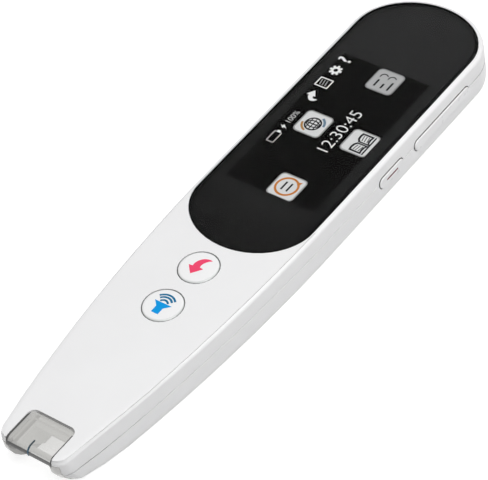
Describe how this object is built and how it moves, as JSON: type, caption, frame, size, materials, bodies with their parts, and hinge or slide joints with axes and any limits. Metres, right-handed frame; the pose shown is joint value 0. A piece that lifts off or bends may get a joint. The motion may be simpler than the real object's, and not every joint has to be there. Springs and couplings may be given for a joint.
{
  "type": "scanning pen",
  "caption": "Flat hand-held reading pen with a glass-covered screen, round face buttons, side keys and a smoked scanning nose at its tapered end.",
  "frame": {"origin": "on the surface that the pen lies on, under the middle of its length and width", "axes": "+Z out of the screen, +Y from the scanning nose to the rounded head, +X towards the side with the keys"},
  "size_m": [0.0352, 0.1578, 0.0115],
  "materials": {
    "white_plastic": "satin white moulding",
    "black_glass": "polished, black from behind",
    "smoked_plastic": "clear smoked moulding, polished",
    "grey_plastic": "matte light grey",
    "black_plastic": "matte",
    "screen": "dark screen with lit signs",
    "circuit_board": "green solder mask",
    "chip": "moulded epoxy",
    "steel": "tinned sheet",
    "bright_steel": "nickel-plated",
    "polyimide": "amber film",
    "pouch": "matte laminated foil",
    "foam": "soft, matte",
    "lens_glass": "coated, polished",
    "led": "yellow phosphor",
    "adhesive": "black film"
  },
  "bodies": {
    "case": {"upper_housing": "white_plastic", "lower_housing": "white_plastic", "front_panel": "white_plastic", "cover_glass": "black_glass", "glass_adhesive": "adhesive", "display_panel": "screen", "display_flex": "polyimide", "display_connector": "black_plastic", "speak_switch": "steel", "back_switch": "steel", "main_board": "circuit_board", "processor_shield": "steel", "memory_chip": "chip", "board_screw_1": "bright_steel", "board_screw_2": "bright_steel", "board_screw_3": "bright_steel", "board_screw_4": "bright_steel", "battery": "pouch", "battery_plug": "black_plastic", "battery_lead": "foam", "rocker_pin": "bright_steel", "side_key_board": "circuit_board", "power_switch": "steel", "volume_down_switch": "steel", "volume_up_switch": "steel", "scan_chamber": "grey_plastic", "led_board": "circuit_board", "scan_led_left": "led", "scan_led_right": "led", "camera_holder": "black_plastic", "lens_barrel": "black_plastic", "camera_lens": "lens_glass", "sensor_board": "circuit_board", "image_sensor": "chip", "tip_switch": "steel", "tip_spring": "bright_steel", "charge_board": "circuit_board", "charge_board_screw_1": "bright_steel", "charge_board_screw_2": "bright_steel", "charge_socket": "bright_steel", "link_flex": "polyimide", "loudspeaker": "black_plastic", "speaker_gasket": "foam"},
    "speak_button_cap": {"speak_button": "white_plastic"},
    "back_button_cap": {"back_button": "white_plastic"},
    "power_key_cap": {"power_key": "white_plastic"},
    "volume_rocker_cap": {"volume_rocker": "white_plastic"},
    "scanning_tip": {"nose_tip": "smoked_plastic"}
  },
  "joints": [
    {"name": "speak_button_press", "type": "slide", "parent": "case", "child": "speak_button_cap", "axis": [0, 0, -1], "range_m": [0, 0.00035], "stiffness_N_per_m": 400},
    {"name": "back_button_press", "type": "slide", "parent": "case", "child": "back_button_cap", "axis": [0, 0, -1], "range_m": [0, 0.00035], "stiffness_N_per_m": 400},
    {"name": "power_key_press", "type": "slide", "parent": "case", "child": "power_key_cap", "axis": [-1, 0, 0], "range_m": [0, 0.00035], "stiffness_N_per_m": 400},
    {"name": "volume_rocker_tilt", "type": "hinge", "parent": "case", "child": "volume_rocker_cap", "pos_m": [0.0153, 0.0497, 0.0062], "axis": [0, 0, 1], "range_deg": [-1.6, 1.6], "stiffness_Nm_per_rad": 0.05},
    {"name": "nose_tip_press", "type": "slide", "parent": "case", "child": "scanning_tip", "axis": [0, 1, 0], "range_m": [0, 0.00025], "stiffness_N_per_m": 400}
  ]
}
